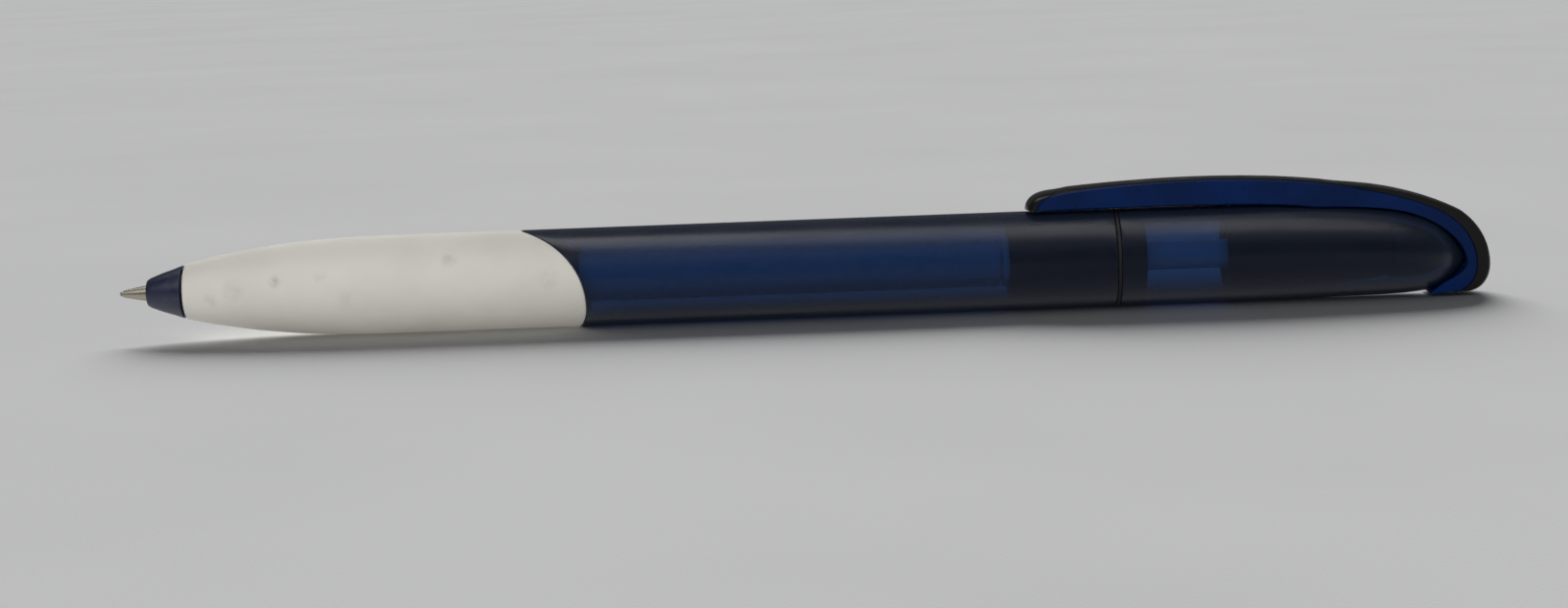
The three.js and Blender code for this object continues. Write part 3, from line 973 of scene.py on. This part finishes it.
class GEL_PEN_OT_spring(PieceOperator):
    """Return spring with a closed turn at each end"""

    bl_idname = "gel_pen.spring"
    bl_label = "Return spring"

    def build(self, sizes, colours):
        start, end = low("return_spring"), high("return_spring")
        radius = (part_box("return_spring")[1][1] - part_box("return_spring")[0][1]) / 2 / MM - sizes.wire - 0.01
        turns = sizes.turns + 2
        steps = turns * 32
        rings = []
        for i in range(steps + 1):
            turn = turns * i / steps
            closed_travel = 2 * sizes.wire * (min(turn, 1) + max(turn - turns + 1, 0))
            working = min(max(turn - 1, 0), turns - 2) / (turns - 2)
            open_travel = (end - start - 6 * sizes.wire) * working
            station = start + sizes.wire + closed_travel + open_travel
            angle = 2 * math.pi * turn
            ring = []
            for k in range(10):
                round_wire = 2 * math.pi * k / 10
                out = radius + sizes.wire * math.cos(round_wire)
                along = station + sizes.wire * math.sin(round_wire)
                ring.append(at(along, out * math.cos(angle), out * math.sin(angle)))
            rings.append(ring)
        coil = lofted("return_spring_coiled", rings)
        dressed(coil, spring_steel(), "spring", None, "return_spring")
        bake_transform(coil)


class GEL_PEN_OT_studio(bpy.types.Operator):
    """Camera, lamps and a pale floor"""

    bl_idname = "gel_pen.studio"
    bl_label = "Studio"
    bl_options = {"REGISTER", "UNDO"}

    def execute(self, context):
        studio = context.scene.gel_pen_studio
        self.camera(context, studio)
        floor = self.floor(studio)
        place = at(MIDDLE)
        self.window(math.radians(30))
        overhead = self.softbox("overhead_softbox", place + Vector((-0.02, -0.02, 0.5)), (0.85, 0.22), 1.45)
        fill = self.softbox("front_fill", place + Vector((-0.05, -0.55, 0.28)), (0.9, 0.4), 3.0)
        corner = self.softbox("corner_fill", place + Vector((-0.45, -0.5, 0.5)), (0.5, 0.5), 0.9)
        front = self.softbox("front_softbox", place + Vector((-0.02, -0.36, 0.42)), (0.85, 0.36), 0.4)
        overhead.visible_diffuse = False
        front.visible_diffuse = False
        fill.visible_glossy = False
        for lamp in (overhead, front, corner, fill):
            self.spare(lamp, floor)
        self.bounce(place, floor)
        world = bpy.data.worlds.new("studio")
        world.use_nodes = True
        world.node_tree.nodes["Background"].inputs["Color"].default_value = (0.11, 0.112, 0.116, 1)
        context.scene.world = world
        context.scene.view_settings.view_transform = "Standard"
        return {"FINISHED"}

    def camera(self, context, studio):
        forward = Vector((0, math.cos(studio.elevation), -math.sin(studio.elevation)))
        upright = Vector((0, math.sin(studio.elevation), math.cos(studio.elevation)))
        across = Vector((1, 0, 0))
        right = across * math.cos(studio.roll) - upright * math.sin(studio.roll)
        up = across * math.sin(studio.roll) + upright * math.cos(studio.roll)
        aim = at(69) - upright * 3.6 * MM
        data = bpy.data.cameras.new("camera")
        data.lens = studio.lens
        data.clip_start = 0.01
        camera = bpy.data.objects.new("camera", data)
        bpy.context.scene.collection.objects.link(camera)
        basis = camera.matrix_world.copy()
        for column, axis in enumerate((right, up, -forward)):
            for row in range(3):
                basis[row][column] = axis[row]
        basis.translation = aim - forward * studio.distance
        camera.matrix_world = basis
        context.scene.camera = camera

    def floor(self, studio):
        reach = 3.0
        mesh = bmesh.new()
        corners = [mesh.verts.new((x * reach, y * reach, 0)) for x, y in ((-1, -1), (1, -1), (1, 1), (-1, 1))]
        mesh.faces.new(corners)
        floor = finished("floor", mesh)
        paper = Finish("paper", studio.paper, 0.9, Specular_IOR_Level=0.2)
        dimmer = [c * 0.96 for c in studio.paper]
        paper.clouded(14, studio.paper, dimmer, (0.35, 0.65)).grained(2600, 0.00002)
        floor.data.materials.append(paper.material)
        return floor

    def window(self, elevation):
        """Broad daylight from behind the pen, which gives it a soft shadow towards the front."""
        data = bpy.data.lights.new("window_light", "SUN")
        data.angle = math.radians(40)
        data.energy = 3.9
        lamp = bpy.data.objects.new("window_light", data)
        bpy.context.scene.collection.objects.link(lamp)
        aim = Vector((0, -math.cos(elevation), -math.sin(elevation)))
        lamp.rotation_euler = aim.to_track_quat("-Z", "Y").to_euler()
        lamp.visible_glossy = False

    def bounce(self, place, floor):
        """The light that a pale table throws up at the pen, which the table neither blocks nor receives."""
        lamp = self.softbox("table_bounce", place + Vector((0, -0.05, -0.12)), (0.5, 0.3), 0.14)
        self.spare(lamp, floor)
        lamp.light_linking.blocker_collection = lamp.light_linking.receiver_collection

    def spare(self, lamp, floor):
        """Keeps a lamp off the floor, so that it fills in the pen and not its shadow."""
        spared = bpy.data.collections.new(f"spared by {lamp.name}")
        spared.objects.link(floor)
        spared.collection_objects[0].light_linking.link_state = "EXCLUDE"
        lamp.light_linking.receiver_collection = spared

    def softbox(self, name, place, size, power):
        data = bpy.data.lights.new(name, "AREA")
        data.shape = "RECTANGLE"
        data.size, data.size_y = size
        data.energy = power
        lamp = bpy.data.objects.new(name, data)
        bpy.context.scene.collection.objects.link(lamp)
        lamp.location = place
        lamp.rotation_euler = (at(MIDDLE) - place).to_track_quat("-Z", "Y").to_euler()
        return lamp


PIECES = (
    GEL_PEN_OT_grip, GEL_PEN_OT_front_barrel, GEL_PEN_OT_nose, GEL_PEN_OT_rear_barrel, GEL_PEN_OT_mechanism,
    GEL_PEN_OT_clip, GEL_PEN_OT_point, GEL_PEN_OT_refill, GEL_PEN_OT_spring, GEL_PEN_OT_studio,
)


class GEL_PEN_PT_panel(bpy.types.Panel):
    """Lists the pen's pieces and their settings"""

    bl_idname = "GEL_PEN_PT_panel"
    bl_label = "Gel Pen"
    bl_space_type = "VIEW_3D"
    bl_region_type = "UI"
    bl_category = "Gel Pen"

    def draw(self, context):
        for piece in PIECES:
            self.layout.operator(piece.bl_idname)
        for title, group in (("Sizes", "gel_pen_sizes"), ("Colours", "gel_pen_colours"),
                             ("Studio", "gel_pen_studio")):
            box = self.layout.box()
            box.label(text=title)
            values = getattr(context.scene, group)
            for key in values.__annotations__:
                box.prop(values, key)


GROUPS = {"gel_pen_sizes": GelPenSizes, "gel_pen_colours": GelPenColours, "gel_pen_studio": GelPenStudio}
CLASSES = (*GROUPS.values(), *PIECES, GEL_PEN_PT_panel)


def register():
    for cls in CLASSES:
        bpy.utils.register_class(cls)
    for name, group in GROUPS.items():
        setattr(bpy.types.Scene, name, bpy.props.PointerProperty(type=group))


def unregister():
    for name in GROUPS:
        delattr(bpy.types.Scene, name)
    for cls in reversed(CLASSES):
        bpy.utils.unregister_class(cls)


def main():
    register()
    for piece in PIECES:
        category, name = piece.bl_idname.split(".")
        getattr(getattr(bpy.ops, category), name)()


if __name__ == "__main__":
    main()
